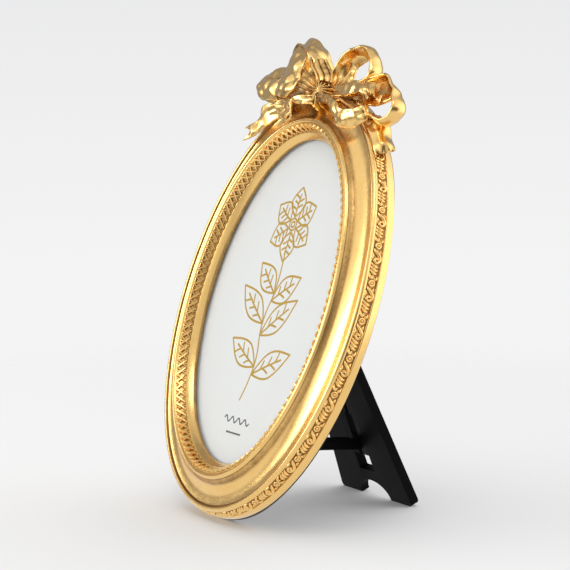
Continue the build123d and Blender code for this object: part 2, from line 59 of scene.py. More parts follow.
# %% Pick, stand and finish a piece
def pick(*pieces):
    """Only these objects are selected, and the last one is active."""
    bpy.ops.object.select_all(action="DESELECT")
    for piece in pieces:
        piece.select_set(True)
        bpy.context.view_layer.objects.active = piece
    return pieces[-1]


def edit(piece):
    """Edit mode with everything in the piece selected."""
    pick(piece)
    bpy.ops.object.mode_set(mode="EDIT")
    bpy.ops.mesh.select_all(action="SELECT")


def leave_edit():
    bpy.ops.object.mode_set(mode="OBJECT")


def clean(piece):
    """Doubles merged, then faces turned outwards."""
    edit(piece)
    bpy.ops.mesh.remove_doubles(threshold=0.001 * mm)
    bpy.ops.mesh.normals_make_consistent(inside=False)
    leave_edit()


def apply_all(piece):
    """Every modifier of the piece applied, in order."""
    pick(piece)
    for modifier in list(piece.modifiers):
        bpy.ops.object.modifier_apply(modifier=modifier.name)


def stand(piece):
    """A piece drawn flat takes its place in the leaning frame."""
    piece.matrix_world = standing
    pick(piece)
    bpy.ops.object.transform_apply(location=True, rotation=True, scale=True)


def hand_over(piece, body, finish, replaced=(), smooth_angle=35):
    """The piece gets its finish and shading, rides on its body and stands for CAD nodes."""
    piece.data.materials.clear()
    piece.data.materials.append(finish)
    pick(piece)
    bpy.ops.object.shade_smooth_by_angle(angle=math.radians(smooth_angle))
    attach(piece, body)
    if replaced:
        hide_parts(*replaced)
    print(piece.name, "faces", len(piece.data.polygons), "on", body)


def new_curve(name, dimensions="3D"):
    """An empty curve object in the scene."""
    piece = bpy.data.objects.new(name, bpy.data.curves.new(name, "CURVE"))
    piece.data.dimensions = dimensions
    bpy.context.collection.objects.link(piece)
    return piece


def as_mesh(piece):
    """A curve made a mesh, with its doubles merged."""
    pick(piece)
    bpy.ops.object.convert(target="MESH")
    piece = bpy.context.object
    clean(piece)
    return piece


print("the bench is ready")

# %% [markdown]
# ## Writing finishes as sums
# A finish is a small node tree. So that it reads like arithmetic, `Tone` wraps a socket and its
# operators add Math nodes. Every other node comes from `Finish.node`, which sets the node's own
# settings first and then fills or links its sockets.

# %% Tone and Finish
camera_ray, shadow_ray, diffuse_ray, glossy_ray = range(4)


class Tone:
    """One value in a finish. Sums, differences and products of tones add Math nodes."""

    def __init__(self, finish, socket):
        self.finish = finish
        self.socket = socket

    def math(self, operation, first, second):
        return self.finish.node("ShaderNodeMath", {"operation": operation}, {0: first, 1: second})

    def __add__(self, other):
        return self.math("ADD", self, other)

    def __radd__(self, other):
        return self.math("ADD", other, self)

    def __sub__(self, other):
        return self.math("SUBTRACT", self, other)

    def __rsub__(self, other):
        return self.math("SUBTRACT", other, self)

    def __mul__(self, other):
        return self.math("MULTIPLY", self, other)


class Finish:
    """A material, or the world, built from nodes."""

    def __init__(self, name, owner=None):
        self.owner = owner or bpy.data.materials.new(name)
        self.owner.use_nodes = True
        self.tree = self.owner.node_tree
        self.tree.nodes.clear()

    def node(self, kind, settings=None, sockets=None, output=0):
        """A node of a kind, with its settings and the values or links of its sockets."""
        made = self.tree.nodes.new(kind)
        for name, value in (settings or {}).items():
            setattr(made, name, value)
        for name, value in (sockets or {}).items():
            if isinstance(value, Tone):
                self.tree.links.new(value.socket, made.inputs[name])
            else:
                made.inputs[name].default_value = value
        return Tone(self, made.outputs[output]) if made.outputs else None

    def place(self):
        """The place on the piece, in metres."""
        return self.node("ShaderNodeTexCoord", output=3)

    def ray(self, kind):
        """1 on rays of a kind: camera_ray, shadow_ray, diffuse_ray or glossy_ray."""
        return self.node("ShaderNodeLightPath", output=kind)

    def noise(self, scale, detail=4, roughness=0.55):
        """Cloudy pattern with a number of clouds to the metre."""
        sockets = {"Vector": self.place(), "Scale": scale, "Detail": detail, "Roughness": roughness}
        return self.node("ShaderNodeTexNoise", {}, sockets)

    def mix(self, factor, first, second):
        """One colour turning into another."""
        sockets = {0: factor, 6: first, 7: second}
        return self.node("ShaderNodeMix", {"data_type": "RGBA"}, sockets, 2)

    def steps(self, value, low, high):
        """0 below the low value and 1 above the high one, smooth between them."""
        settings = {"interpolation_type": "SMOOTHSTEP"}
        return self.node("ShaderNodeMapRange", settings, {0: value, 1: low, 2: high})

    def bump(self, height, strength, distance):
        """Fine relief from a height."""
        sockets = {"Height": height, "Strength": strength, "Distance": distance}
        return self.node("ShaderNodeBump", {}, sockets)

    def surface(self, sockets):
        """The Principled shader, joined to the output."""
        shader = self.node("ShaderNodeBsdfPrincipled", {}, sockets)
        self.node("ShaderNodeOutputMaterial", {}, {0: shader})
        return self.owner


print("Tone and Finish are ready")

# %% [markdown]
# ## Gilding
# The moulding and bow are cast, then gilded with bronze-gold leaf and toned, so the hollows keep a
# brown patina and the high places are rubbed bright. A plain metal colour would look like plastic. Here
# the colour runs from brown to pale gold by a value that each piece carries on its points, broken up by
# clouds, and the roughness follows the same clouds. That value holds painted shade and painted dark
# reflection as well as the patina: it is raised in recesses, in pleat valleys and creases, on the ground
# between ornaments and low in the moulding's hollow.

# %% Gilding
deep_gold, fair_gold = (0.86, 0.51, 0.15, 1), (0.94, 0.64, 0.24, 1)
pale_fleck, brown_patina_and_shade = (0.97, 0.74, 0.36, 1), (0.22, 0.092, 0.015, 1)


def gilding_finish():
    gilding = Finish("gilding")
    patina_and_shade = gilding.node("ShaderNodeAttribute", {"attribute_name": "patina_and_shade"}, {}, 2)
    clouds = gilding.noise(140, 5, 0.6)
    leaf = gilding.noise(900, 3, 0.6)
    grain = gilding.noise(5200, 2, 0.5)
    # How far the gold is toned brown: patina together with painted shade and painted dark reflection, broken
    # up by clouds.
    patina_and_shade_share = gilding.steps(patina_and_shade + (clouds - 0.5) * 0.4 + (leaf - 0.5) * 0.4, 0.2, 0.95)
    gold = gilding.mix(clouds, deep_gold, fair_gold)
    gold = gilding.mix(gilding.steps(leaf, 0.45, 0.75) * 0.3, gold, pale_fleck)
    toned = gilding.mix(patina_and_shade_share, gold, brown_patina_and_shade)
    roughness = 0.16 + clouds * 0.12 + patina_and_shade_share * 0.2
    relief = gilding.bump(leaf * 0.6 + grain * 0.4, 0.3, 0.14 * mm)
    return gilding.surface({"Base Color": toned, "Metallic": 1.0, "Roughness": roughness,
                            "Normal": relief, "Coat Weight": 0.3, "Coat Roughness": 0.16,
                            "Coat IOR": 1.5})


gilding = gilding_finish()
print("gilding has", len(gilding.node_tree.nodes), "nodes")

# %% [markdown]
# ## The moulding
# The real moulding is one swept section: a sloping sight edge, the leaf band's ground, a thin bead and a
# fat roll at the crest, a steep wall, a broad hollow, a sharp groove, a rounded fillet and the ground of
# the scroll band. A bevelled curve sweeps a section square to its path all round, which is what a
# moulding is, so the section is drawn once and swept round the oval.

# %% Oval paths and the section
def oval(name, offset, steps=400):
    """Closed line parallel to the sight edge, running anticlockwise."""
    line = new_curve(name, "2D")
    spline = line.data.splines.new("POLY")
    spline.points.add(steps - 1)
    for step, point in enumerate(spline.points):
        turn = 2 * math.pi * step / steps
        c, s = math.cos(turn), math.sin(turn)
        place = Vector((sight_half_width * c, sight_half_height * s, 0))
        outward = Vector((c / sight_half_width, s / sight_half_height, 0)).normalized()
        point.co = (*(place + offset * outward), 1)
    spline.use_cyclic_u = True
    line.data.fill_mode = "NONE"
    return line


def bend(start, end, bulge, steps):
    """Points of an arc after its start; the bulge is to the left of the run."""
    start, end = Vector(start), Vector(end)
    run = end - start
    side = Vector((-run.y, run.x)).normalized()
    points = []
    for step in range(1, steps + 1):
        share = step / steps
        points.append(tuple(start + run * share + side * bulge * 4 * share * (1 - share)))
    return points


def moulding_section():
    """Places (outwards, up) in millimetres with how much patina and painted shade each carries, round the
    closed section.
    """
    # The third number tones the gilding brown: patina, and painted shade on the lip wall, the grounds, the
    # groove, the hidden rebate and low on the wall and in the hollow. Crests get little.
    rubbed = 0.05
    # Sight edge and the leaf band's ground
    run = [(0.0, 6.3, 0.7), (0.0, 7.9, 0.5), (0.25, 8.35, 0.2), (1.4, 9.6, 0.2), (2.55, 10.85, 0.25)]
    run += [(2.75, 11.0, 0.4), (3.0, 11.05, 0.6), (4.4, 12.75, 0.5), (5.75, 14.4, 0.6)]
    run += [(5.85, 14.6, 0.5)]
    # Thin bead and fat roll
    run += [(x, y, rubbed) for x, y in bend((5.85, 14.6), (6.55, 14.95), 0.25, 6)]
    run += [(6.62, 14.8, 0.8)]
    run += [(x, y, rubbed) for x, y in bend((6.62, 14.8), (9.35, 14.75), 1.1, 14)]
    run += [(9.45, 14.65, 0.7), (9.6, 14.5, 0.75)]
    # Steep wall, with painted shade darker lower down, and the broad hollow, whose painted shade fades
    # outwards
    run += [(x, y, 1.9 - y / 10) for x, y in bend((9.6, 14.5), (11.2, 12.2), -0.15, 5)]
    run += [(x, y, max(0.12, 0.6 - 0.28 * (x - 11.2)))
            for x, y in bend((11.2, 12.2), (21.2, 9.95), -1.15, 18)]
    # Groove, dark with painted shade, and fillet
    run += [(21.42, 9.72, 1.0), (21.62, 9.72, 1.0)]
    run += [(x, y, max(rubbed, 1.0 - 0.6 * (x - 21.75)))
            for x, y in bend((21.75, 9.95), (23.7, 10.75), 0.42, 9)]
    run += [(x, y, rubbed) for x, y in bend((23.7, 10.75), (24.6, 9.0), 0.3, 6)]
    # Ground of the scroll band, dark with painted shade between the scrolls, outer edge and back
    run += [(24.4, 8.7, 0.85), (24.7, 6.6, 0.65), (25.1, 4.45, 0.85), (25.3, 4.2, 0.6)]
    run += [(x, y, rubbed) for x, y in bend((25.45, 4.2), (26.12, 3.5), 0.2, 5)]
    run += [(26.15, 2.4, 0.1), (26.15, 1.0, 0.1), (26.05, 0.25, 0.2), (25.8, 0.02, 0.5)]
    run += [(6.45, 0.02, 0.9), (6.45, 6.3, 0.9)]
    return run


section_run = moulding_section()
section = new_curve("section", "2D")
spline = section.data.splines.new("POLY")
spline.points.add(len(section_run) - 1)
for point, (x, y, _) in zip(spline.points, section_run):
    point.co = (-x * mm, y * mm, 0, 1)
spline.use_cyclic_u = True
print("section has", len(section_run), "points")

# %% Sweep the section round the oval
moulding_line = oval("moulding", 0.0)
moulding_line.data.bevel_mode = "OBJECT"
moulding_line.data.bevel_object = section
pick(moulding_line)
bpy.ops.object.convert(target="MESH")
moulding = bpy.context.object
moulding.name = "gilded_moulding"
# Each point of the sweep takes its patina and painted shade from the section.
patina_and_shade = moulding.data.attributes.new("patina_and_shade", "FLOAT", "POINT")
for index, place in enumerate(patina_and_shade.data):
    place.value = section_run[index % len(section_run)][2]
bpy.data.objects.remove(section)
clean(moulding)
stand(moulding)
hand_over(moulding, "frame", gilding, ["moulding_ring"], 28)

# %% [markdown]
# ## Ornament bands
# Both bands are pressed composition: one motif, repeated end to end. It is modelled once, flat, with x
# along the band, y across it and z as its relief. An Array modifier repeats it and a Curve modifier wraps
# the row round the oval, as it would be done by hand. Before that the motif is turned about its own
# length, so that it lies on its sloping ground.

# %% Strokes, and a motif wrapped round the oval
def stroke(line, points, smoothness):
    """One tapered stroke: places along and across the motif with their thickness, in millimetres."""
    spline = line.data.splines.new("NURBS")
    spline.points.add(len(points) - 1)
    for point, (x, y, thickness) in zip(spline.points, points):
        point.co = (x * mm, y * mm, 0, 1)
        point.radius = thickness
    spline.use_endpoint_u = True
    spline.order_u = 3
    spline.resolution_u = smoothness


def cut_at_ground():
    """What lies more than a little below the ground is cut off the piece in edit mode."""
    bpy.ops.mesh.bisect(plane_co=(0, 0, -0.12 * mm), plane_no=(0, 0, 1), clear_inner=True)


def motif_from(name, strokes, sides, relief, smoothness=4):
    """Strokes made a mesh, raised to their relief and cut off a little below their ground."""
    line = new_curve(name)
    line.data.bevel_depth = mm
    line.data.bevel_resolution = sides
    line.data.use_fill_caps = True
    for points in strokes:
        stroke(line, points, smoothness)
    motif = as_mesh(line)
    edit(motif)
    bpy.ops.transform.resize(value=(1, 1, relief))
    cut_at_ground()
    leave_edit()
    return motif


def mark_patina_and_shade(motif, low, high):
    """Points near the ground get patina and painted shade, and those on top do not."""
    patina_and_shade = motif.data.attributes.new("patina_and_shade", "FLOAT", "POINT")
    for place, vertex in zip(patina_and_shade.data, motif.data.vertices):
        place.value = 1 - min(1, max(0, (vertex.co.z / mm - low) / (high - low)))


def wrap(motif, path, count, length, turn, height):
    """The motif turned onto its ground, lifted, repeated and bent round the oval."""
    edit(motif)
    bpy.ops.transform.rotate(value=turn, orient_axis="X", center_override=(0, 0, 0))
    bpy.ops.transform.translate(value=(0, 0, height))
    leave_edit()
    row = motif.modifiers.new("row", "ARRAY")
    row.use_relative_offset = False
    row.use_constant_offset = True
    row.constant_offset_displace = (length, 0, 0)
    row.count = count
    ring = motif.modifiers.new("ring", "CURVE")
    ring.object = path
    ring.deform_axis = "POS_X"
    apply_all(motif)
    bpy.data.objects.remove(path)
    edit(motif)
    bpy.ops.mesh.flip_normals()
    leave_edit()


print("motifs can be wrapped")

# %% [markdown]
# ## The scroll band
# The outer band runs on in scrolls: a small ringed pearl, a curling stem, three leaf blades and a pair of
# small curls that lead to the next pearl. Tapered strokes give such thin raised lines cheaply, and cutting
# them off at the ground leaves no hidden half.

# %% Scroll band
scroll_offset, scroll_height = 24.72 * mm, 6.6 * mm
scroll_ground_lean, scroll_ground_rise = 0.7, 4.25
scroll_count = 34
width_share, stroke_share = 0.9, 1.65
scroll_path = oval("scroll_path", scroll_offset)
scroll_length = scroll_path.data.splines[0].calc_length() / scroll_count
scroll_strokes = [
    [(3.3, -1.9, 0.2), (4.6, -1.2, 0.5), (5.6, 0.6, 0.62), (7.2, 2.0, 0.6), (9.3, 1.7, 0.55),
     (9.9, 0.0, 0.48), (8.9, -1.1, 0.42), (7.7, -0.6, 0.4), (7.8, 0.4, 0.5), (8.4, 0.5, 0.55)],
    [(5.2, -2.2, 0.15), (6.4, -2.0, 0.45), (7.6, -2.3, 0.4), (9.0, -2.1, 0.15)],
    [(3.4, 2.1, 0.15), (4.2, 1.3, 0.5), (5.0, 1.9, 0.4), (5.3, 2.4, 0.15)],
    [(9.9, -2.3, 0.15), (11.3, -1.2, 0.55), (11.9, 0.9, 0.55), (11.4, 2.3, 0.15)],
    [(11.5, -2.4, 0.15), (13.0, -1.2, 0.55), (13.6, 0.9, 0.55), (13.2, 2.3, 0.15)],
    [(13.2, -2.3, 0.15), (14.5, -1.1, 0.55), (15.1, 0.6, 0.5), (14.8, 2.0, 0.15)],
    [(14.9, -2.2, 0.15), (16.4, -2.0, 0.5), (17.3, -0.9, 0.5), (16.5, -0.2, 0.4), (15.9, -0.8, 0.45)],
    [(15.6, 2.2, 0.15), (17.0, 2.1, 0.5), (17.8, 1.1, 0.45), (17.0, 0.6, 0.35)],
]
scroll_strokes = [[(x, width_share * y, stroke_share * thick) for x, y, thick in points]
                  for points in scroll_strokes]
scrolls = motif_from("scroll_band", scroll_strokes, sides=3, relief=1.45)
print("one scroll motif is", round(scroll_length / mm, 2), "mm long")

# %% [markdown]
# Each scroll starts from a pearl in a ring. Both are cut off at the ground like the strokes and joined to
# them, so that the motif is turned onto its ground and wrapped round the oval in one piece.

# %% Pearls of the scroll band
pearl_place = 1.6 * mm
bpy.ops.object.select_all(action="DESELECT")
bpy.ops.mesh.primitive_torus_add(major_radius=1.25 * mm, minor_radius=0.5 * mm, major_segments=18,
                                 minor_segments=8, location=(pearl_place, 0, 0.35 * mm))
pearl_ring = bpy.context.object
bpy.ops.mesh.primitive_uv_sphere_add(segments=12, ring_count=8, radius=0.7 * mm,
                                     location=(pearl_place, 0, 0.45 * mm))
pearl = bpy.context.object
pick(pearl, pearl_ring, scrolls)
bpy.ops.object.transform_apply(location=True, rotation=True, scale=True)
bpy.ops.object.join()
edit(scrolls)
cut_at_ground()
leave_edit()
# Patina and painted shade on the ground between the scrolls.
mark_patina_and_shade(scrolls, -0.15, 0.4)
scroll_turn = math.radians(90) - math.atan2(scroll_ground_lean, scroll_ground_rise)
wrap(scrolls, scroll_path, scroll_count, scroll_length, scroll_turn, scroll_height)
stand(scrolls)
hand_over(scrolls, "frame", gilding, smooth_angle=60)

# %% [markdown]
# ## The leaf band
# The band beside the sight edge is a row of small crossed leaves: two ribs cross, with a bud in the gap on
# either side. Their upper ends stand up beside the roll, so from the side they make a ragged edge against
# the card. Over a hundred go round, so each rib has only a few faces.

# %% Leaf band
leaf_offset, leaf_height = 4.25 * mm, 13.05 * mm
leaf_turn = math.radians(-52)
leaf_count = 116
leaf_path = oval("leaf_path", leaf_offset)
leaf_length = leaf_path.data.splines[0].calc_length() / leaf_count
end, middle = leaf_length / mm, leaf_length / mm / 2
leaf_strokes = [
    [(0.1, -2.1, 0.34), (0.3 * end, -0.9, 0.66), (0.7 * end, 0.9, 0.76), (end - 0.1, 2.3, 0.93)],
    [(end - 0.1, -2.1, 0.34), (0.7 * end, -0.9, 0.66), (0.3 * end, 0.9, 0.76), (0.1, 2.3, 0.93)],
    [(middle, -2.2, 0.1), (middle, -1.5, 0.42), (middle, -0.8, 0.2)],
    [(middle, 0.9, 0.2), (middle, 1.6, 0.5), (middle, 2.4, 0.7)],
]
leaves = motif_from("leaf_band", leaf_strokes, sides=1, relief=1.3, smoothness=2)
# Patina and painted shade on the ground between the leaves.
mark_patina_and_shade(leaves, -0.3, 0.15)
wrap(leaves, leaf_path, leaf_count, leaf_length, leaf_turn, leaf_height)
stand(leaves)
hand_over(leaves, "frame", gilding, smooth_angle=60)

# %% [markdown]
# ## The bow
# The crown of the frame is a bow of cast ribbon: two upper loops, two side loops, a curl in front on each
# side, two tails and a gathered knot. Each ribbon is bent from a flat strip, as a model maker would bend it
# in wax: a grid is laid between two lines, the ribbon's front edge and its back edge, bulged outwards
# between them, pleated where it is gathered at the knot and a little crumpled all over. Modifiers then give
# it its thickness and rounded edges. The places along both edges are written in millimetres: to the right,
# up the oval, and out of the front.

# %% Ribbon from its two edges
ribbon_thickness = 1.5 * mm
crumple_size, crease_level = 7.0, 0.45
gather_power = 1.5
strips_across = 14
strips_between_places = 9


def along(places, share):
    """The place at a share of a smooth line through the given places."""
    run = share * (len(places) - 1)
    step = min(int(run), len(places) - 2)
    rest = run - step
    start, end = Vector(places[step]), Vector(places[step + 1])
    before = Vector(places[step - 1]) if step > 0 else 2 * start - end
    after = Vector(places[step + 2]) if step + 2 < len(places) else 2 * end - start
    lead, trail = (end - before) / 2, (after - start) / 2
    swing = 3 * (end - start) - 2 * lead - trail
    settle = lead + trail - 2 * (end - start)
    return start + lead * rest + swing * rest ** 2 + settle * rest ** 3


def across(front_edge, back_edge, share):
    """Front and back place at a share of the ribbon's length, and the way out of its face."""
    front, back = along(front_edge, share), along(back_edge, share)
    later, sooner = min(1, share + 0.01), max(0, share - 0.01)
    run = along(front_edge, later) + along(back_edge, later)
    run = run - along(front_edge, sooner) - along(back_edge, sooner)
    return front, back, run.cross(back - front).normalized()


def ribbon(name, front_edge, back_edge, bulge=0.0, pleats=3, pleat_depth=0.7, gathered=0.25, notch=0.0,
           crumple_depth=2.1, node=None):
    """Strip bent between two edges, gathered at both ends, or only at its start if its end is notched."""
    bpy.ops.object.select_all(action="DESELECT")
    bpy.ops.mesh.primitive_grid_add(x_subdivisions=strips_between_places * (len(front_edge) - 1),
                                    y_subdivisions=strips_across, size=2)
    piece = bpy.context.object
    piece.name = name + "_ribbon"
    patina_and_shade = piece.data.attributes.new("patina_and_shade", "FLOAT", "POINT")
    for place, vertex in zip(patina_and_shade.data, piece.data.vertices):
        share, side = (vertex.co.x + 1) / 2, vertex.co.y
        share *= 1 - notch * (1 - abs(side)) * share ** 4
        front, back, out = across(front_edge, back_edge, share)
        gather = max(0, 1 - share / gathered) ** gather_power
        if notch == 0:
            gather += max(0, 1 - (1 - share) / gathered) ** gather_power
        fold = math.cos(math.pi * pleats * (side + 1))
        spot = front.lerp(back, (side + 1) / 2)
        crease = noise.voronoi(spot / crumple_size)[0][0] - crease_level
        lift = pleat_depth * gather * fold + crumple_depth * crease
        lift += bulge * (1 - side ** 2) * (1 - gather)
        vertex.co = (spot + out * lift) * mm
        # Patina and painted shade in the pleat valleys where the ribbon is gathered, and along the crumple
        # creases.
        place.value = gather * (0.5 - 0.4 * fold) + max(0, 0.5 - 2.5 * abs(crease + 0.15))
    thick = piece.modifiers.new("thick", "SOLIDIFY")
    thick.thickness = ribbon_thickness
    thick.offset = 0
    soft = piece.modifiers.new("soft", "SUBSURF")
    soft.levels = 1
    apply_all(piece)
    clean(piece)
    stand(piece)
    hand_over(piece, "frame", gilding, [node] if node else [], 60)


def bow_ribbon(node, *edges, **shape):
    """A ribbon that stands for one of the bow's CAD nodes."""
    ribbon(node, *edges, node=node, **shape)


print("ribbons can be bent")

# %% [markdown]
# The two upper loops stand up from the knot. The left one is the taller, and its ribbon folds over in front
# like a hood. The right one is open, so the wall behind shows through it.

# %% Upper loops
bow_ribbon(
    "bow_loop_upper_left",
    [(-6.5, 109, 14), (-12, 113.5, 15), (-11, 120.5, 15), (-4, 121.5, 17), (-10, 126, 18), (-25.5, 133, 15),
     (-33, 134, 14), (-34, 123, 13), (-31.5, 118, 13), (-14.5, 110.5, 14)],
    [(-1, 111.5, 6), (-2, 117, 4), (-6, 123.5, 4), (-13, 132.5, 6.5), (-23, 138.5, 10), (-32, 134.5, 8),
     (-30.5, 130, 5), (-24.5, 124.5, 4), (-17.5, 118, 4), (-11, 113.5, 6)],
    bulge=-0.8, gathered=0.3)
bow_ribbon(
    "bow_loop_upper_right",
    [(8.5, 110, 13), (7, 117, 13), (12.5, 125.5, 13), (17.5, 128.5, 13), (27.5, 129.5, 13), (34, 127, 12),
     (38.5, 117, 12), (36, 113, 13), (28, 109.5, 14), (14, 109, 14)],
    [(10, 110.5, 6), (15, 114.5, 4), (15, 122, 3), (18, 124.5, 3), (23, 126, 3), (30, 126.5, 3.5),
     (38, 119.5, 4), (33.5, 116.5, 5), (26.5, 112.5, 7), (13, 110.5, 8)],
    bulge=2.2)

# %% [markdown]
# The side loops lie out along the moulding on either hand. The left one is seen from its end, as a fat roll,
# and the right one turns over on itself before it comes back to the knot, so its mouth stays open.

# %% Side loops
bow_ribbon(
    "bow_loop_side_left",
    [(-3, 108.5, 14), (-14, 110, 14.5), (-27, 114, 15), (-46, 116.5, 14), (-57, 116, 13),
     (-64.5, 113.5, 12), (-61, 108, 12), (-50.5, 104.5, 13), (-35.5, 102, 14), (-19, 103.5, 15.5),
     (-3, 104, 14)],
    [(-3, 110, 9), (-14, 112, 8), (-29, 117.5, 6), (-47, 125, 6), (-59, 121.5, 5), (-63, 119.5, 4),
     (-58.5, 119.5, 3), (-48, 120, 3), (-36.5, 117, 4), (-20, 110.5, 7), (-3, 105.5, 10)],
    bulge=-1.5)
bow_ribbon(
    "bow_loop_side_right",
    [(5, 104.5, 14), (15, 104.5, 14), (28, 106.5, 13), (42, 113, 13), (54.5, 115, 12.5), (61, 109.5, 12.5),
     (65.5, 103, 13), (69, 97.5, 13), (63.5, 92.5, 13.5), (56, 93.5, 15), (41.5, 97.5, 15),
     (26, 102.5, 16)],
    [(5, 106, 9), (17, 105, 8.5), (33, 102, 8), (44, 101, 6), (51, 103.5, 4), (57.5, 105.5, 4.5),
     (62, 103.5, 5), (67, 98, 5), (59.5, 93, 5.5), (53, 95, 8), (44, 98, 10), (26.5, 103, 11)],
    bulge=1.8)

# %% [markdown]
# In front of the knot a shorter end of ribbon curls over on each side. These curls are the nearest part of
# the bow, so they hang free of the moulding and show their hollow insides.

# %% Front curls
bow_ribbon(
    "bow_curl_front_left",
    [(2, 105, 15.5), (-6, 104, 18.5), (-11, 102, 20), (-11, 98.5, 20), (-9, 93.5, 19), (-16, 91.5, 18),
     (-24, 95.5, 18), (-29, 99.5, 18), (-24.5, 102, 18), (-17.5, 102, 18)],
    [(3, 100, 15), (-5, 99.5, 17), (-15, 100, 17), (-22, 99, 14.5), (-25, 97.5, 13), (-28, 97.5, 12.5),
     (-29.5, 98.5, 12.5), (-30, 100, 12.5), (-28.5, 100.5, 12.5), (-26, 100, 13)],
    bulge=0.5, pleats=2, pleat_depth=0.4, gathered=0.15)
bow_ribbon(
    "bow_curl_front_right",
    [(5, 106, 16), (18.5, 103.5, 18), (30, 99.5, 20), (37, 95.5, 20), (44.5, 95.5, 19), (49.5, 97.5, 17),
     (44.5, 102.5, 14), (36.5, 107.5, 12), (27.5, 108.5, 12), (16, 106, 14)],
    [(6, 101.5, 15), (21.5, 98.5, 17), (31, 91.5, 18), (34.5, 87.5, 16), (42.5, 87, 14.5), (51.5, 91, 13.5),
     (48.5, 96.5, 12), (39, 101.5, 11), (30, 103, 11), (18.5, 102.5, 13)],
    bulge=-1.0, pleats=2, pleat_depth=0.6, gathered=0.2)

# %% [markdown]
# The tails run down the moulding's shoulders. The left one is cut with a notch at its end, and the right one
# lies in a wave over the outer wall.

# %% Tails
bow_ribbon(
    "bow_tail_left",
    [(-40.5, 104.5, 12), (-49.5, 100.5, 13), (-48, 94.5, 14), (-51.5, 91, 15), (-57, 88, 15.5)],
    [(-30, 96, 10), (-37, 94, 10.5), (-44, 89, 12), (-49, 84, 14), (-57.5, 81, 15)],
    bulge=0.8, pleats=2, gathered=0.35, notch=0.22)
bow_ribbon(
    "bow_tail_right",
    [(46, 94, 10.5), (48.7, 89.3, 10.5), (52.8, 84.8, 10), (57.3, 79.8, 10), (61.5, 75.2, 9.7)],
    [(47.5, 96.5, 4), (55, 92, 2), (58, 87, 1.5), (62, 82.5, 1.5), (65.5, 79, 1.5)],
    bulge=3.0, pleats=3, pleat_depth=0.6, gathered=0.2)

# %% [markdown]
# Over these lie narrower turns of ribbon, thin enough to be trim on the cast pieces: a limb of the tall loop
# that falls across the left side, the rolled end behind it, pleats that run into the knot from the left and
# from the hood, a fold and a limb across the right side, and a tuck in the mouth of the left curl.

# %% Turns over the loops
ribbon(
    "bow_falling_limb",
    [(-21.5, 131.5, 15), (-12.5, 125, 17), (-11.5, 121.5, 18), (-12, 116, 18), (-11, 111.5, 18.5),
     (-14, 107, 19), (-20.5, 103, 18.5)],
    [(-34.5, 135, 13), (-31, 129, 15), (-31, 123.5, 15.5), (-32.5, 117.5, 16), (-33.5, 112, 17),
     (-34, 107.5, 17.5), (-35, 105.5, 17.5)],
    bulge=-1.6, pleats=2, gathered=0.2, crumple_depth=2.4)
ribbon(
    "bow_rolled_end",
    [(-61.5, 113, 12), (-56, 115.5, 13), (-47, 116, 14.5), (-36, 115, 15)],
    [(-61.5, 111.5, 12), (-58.5, 108.5, 12.5), (-51, 105, 13.5), (-36, 103.5, 14)],
    bulge=-1.8, pleats=2, gathered=0.15, crumple_depth=2.4)
ribbon(
    "bow_side_pleats",
    [(1.5, 104.5, 16.5), (-5, 105.5, 18), (-12, 107, 18), (-17, 108.5, 17.5)],
    [(2.5, 110.5, 15.5), (-4, 115, 16.5), (-11, 118, 17), (-17, 119.5, 16.5)],
    bulge=-0.6, pleats=4, pleat_depth=0.8, gathered=1.0, crumple_depth=0.8)
ribbon(
    "bow_pleats",
    [(-9.5, 124.5, 17), (-5.5, 119.5, 17.5), (-1, 116, 17), (2, 112.5, 16)],
    [(0, 124.5, 13), (5, 120, 12.5), (9.5, 116, 12.5), (12, 111.5, 13)],
    bulge=1.0, pleats=3, pleat_depth=0.9, gathered=1.0, crumple_depth=0.6)
ribbon(
    "bow_cross_fold",
    [(19.5, 105, 14.5), (35, 102.5, 17.5), (44, 103.5, 18.5), (51, 102.5, 18.5), (53.5, 101, 17)],
    [(15, 109.5, 13), (29, 108.5, 16), (39, 110, 17), (47, 108, 17), (50.5, 105.5, 16)],
    bulge=1.0, pleats=2, gathered=0.3, crumple_depth=2.8)
ribbon(
    "bow_inner_limb",
    [(36.5, 114, 8), (40, 110.5, 12.5), (47.5, 104, 15.5)],
    [(45, 114, 8), (49.5, 109, 12), (56, 102, 15)],
    bulge=1.2, pleats=2, gathered=0.2, crumple_depth=2.0)
ribbon(
    "bow_tuck",
    [(-12, 102, 19), (-17.5, 102, 17.5), (-24.5, 102, 17.5), (-29, 99.5, 17.5)],
    [(-9.5, 95, 18.5), (-16, 92, 17.5), (-24, 95.5, 17.5), (-29, 99, 17.5)],
    bulge=-1.0, pleats=2, gathered=0.2, crumple_depth=2.4)

# %% [markdown]
# The knot is where all the ribbons are drawn together: a tight rosette of fine pleats that spread from its
# middle. A ball is squashed to its size, with its pole towards the front, and its rings are drawn in and
# out, unevenly, as pleats.

# %% Knot
knot_centre = Vector((2.8, 107.4, 11.0))
knot_size = Vector((6.6, 8.2, 6.4))
knot_pleats = 15
knot_way_out = Vector((0.5, 0, 0.866))
knot_way_right = Vector((0.866, 0, -0.5))
bpy.ops.object.select_all(action="DESELECT")
bpy.ops.mesh.primitive_uv_sphere_add(segments=120, ring_count=24, radius=1)
knot = bpy.context.object
knot.name = "bow_knot_gathers"
patina_and_shade = knot.data.attributes.new("patina_and_shade", "FLOAT", "POINT")
for place, vertex in zip(patina_and_shade.data, knot.data.vertices):
    x, y, z = vertex.co
    turn = math.atan2(y, x)
    pleat = math.cos(knot_pleats * turn + 1.3 * math.sin(2 * turn) + 2 * z)
    reach = (0.9 + 0.16 * pleat + 0.1 * math.sin(3 * turn + 1)) * (1 - 0.25 * z ** 4)
    spot = knot_way_right * x * knot_size.x * reach + knot_way_out * z * knot_size.z
    spot.y = y * knot_size.y * reach
    vertex.co = (knot_centre + spot) * mm
    # Patina and painted shade in the valleys between the pleats.
    place.value = 0.45 - 0.45 * pleat
clean(knot)
stand(knot)
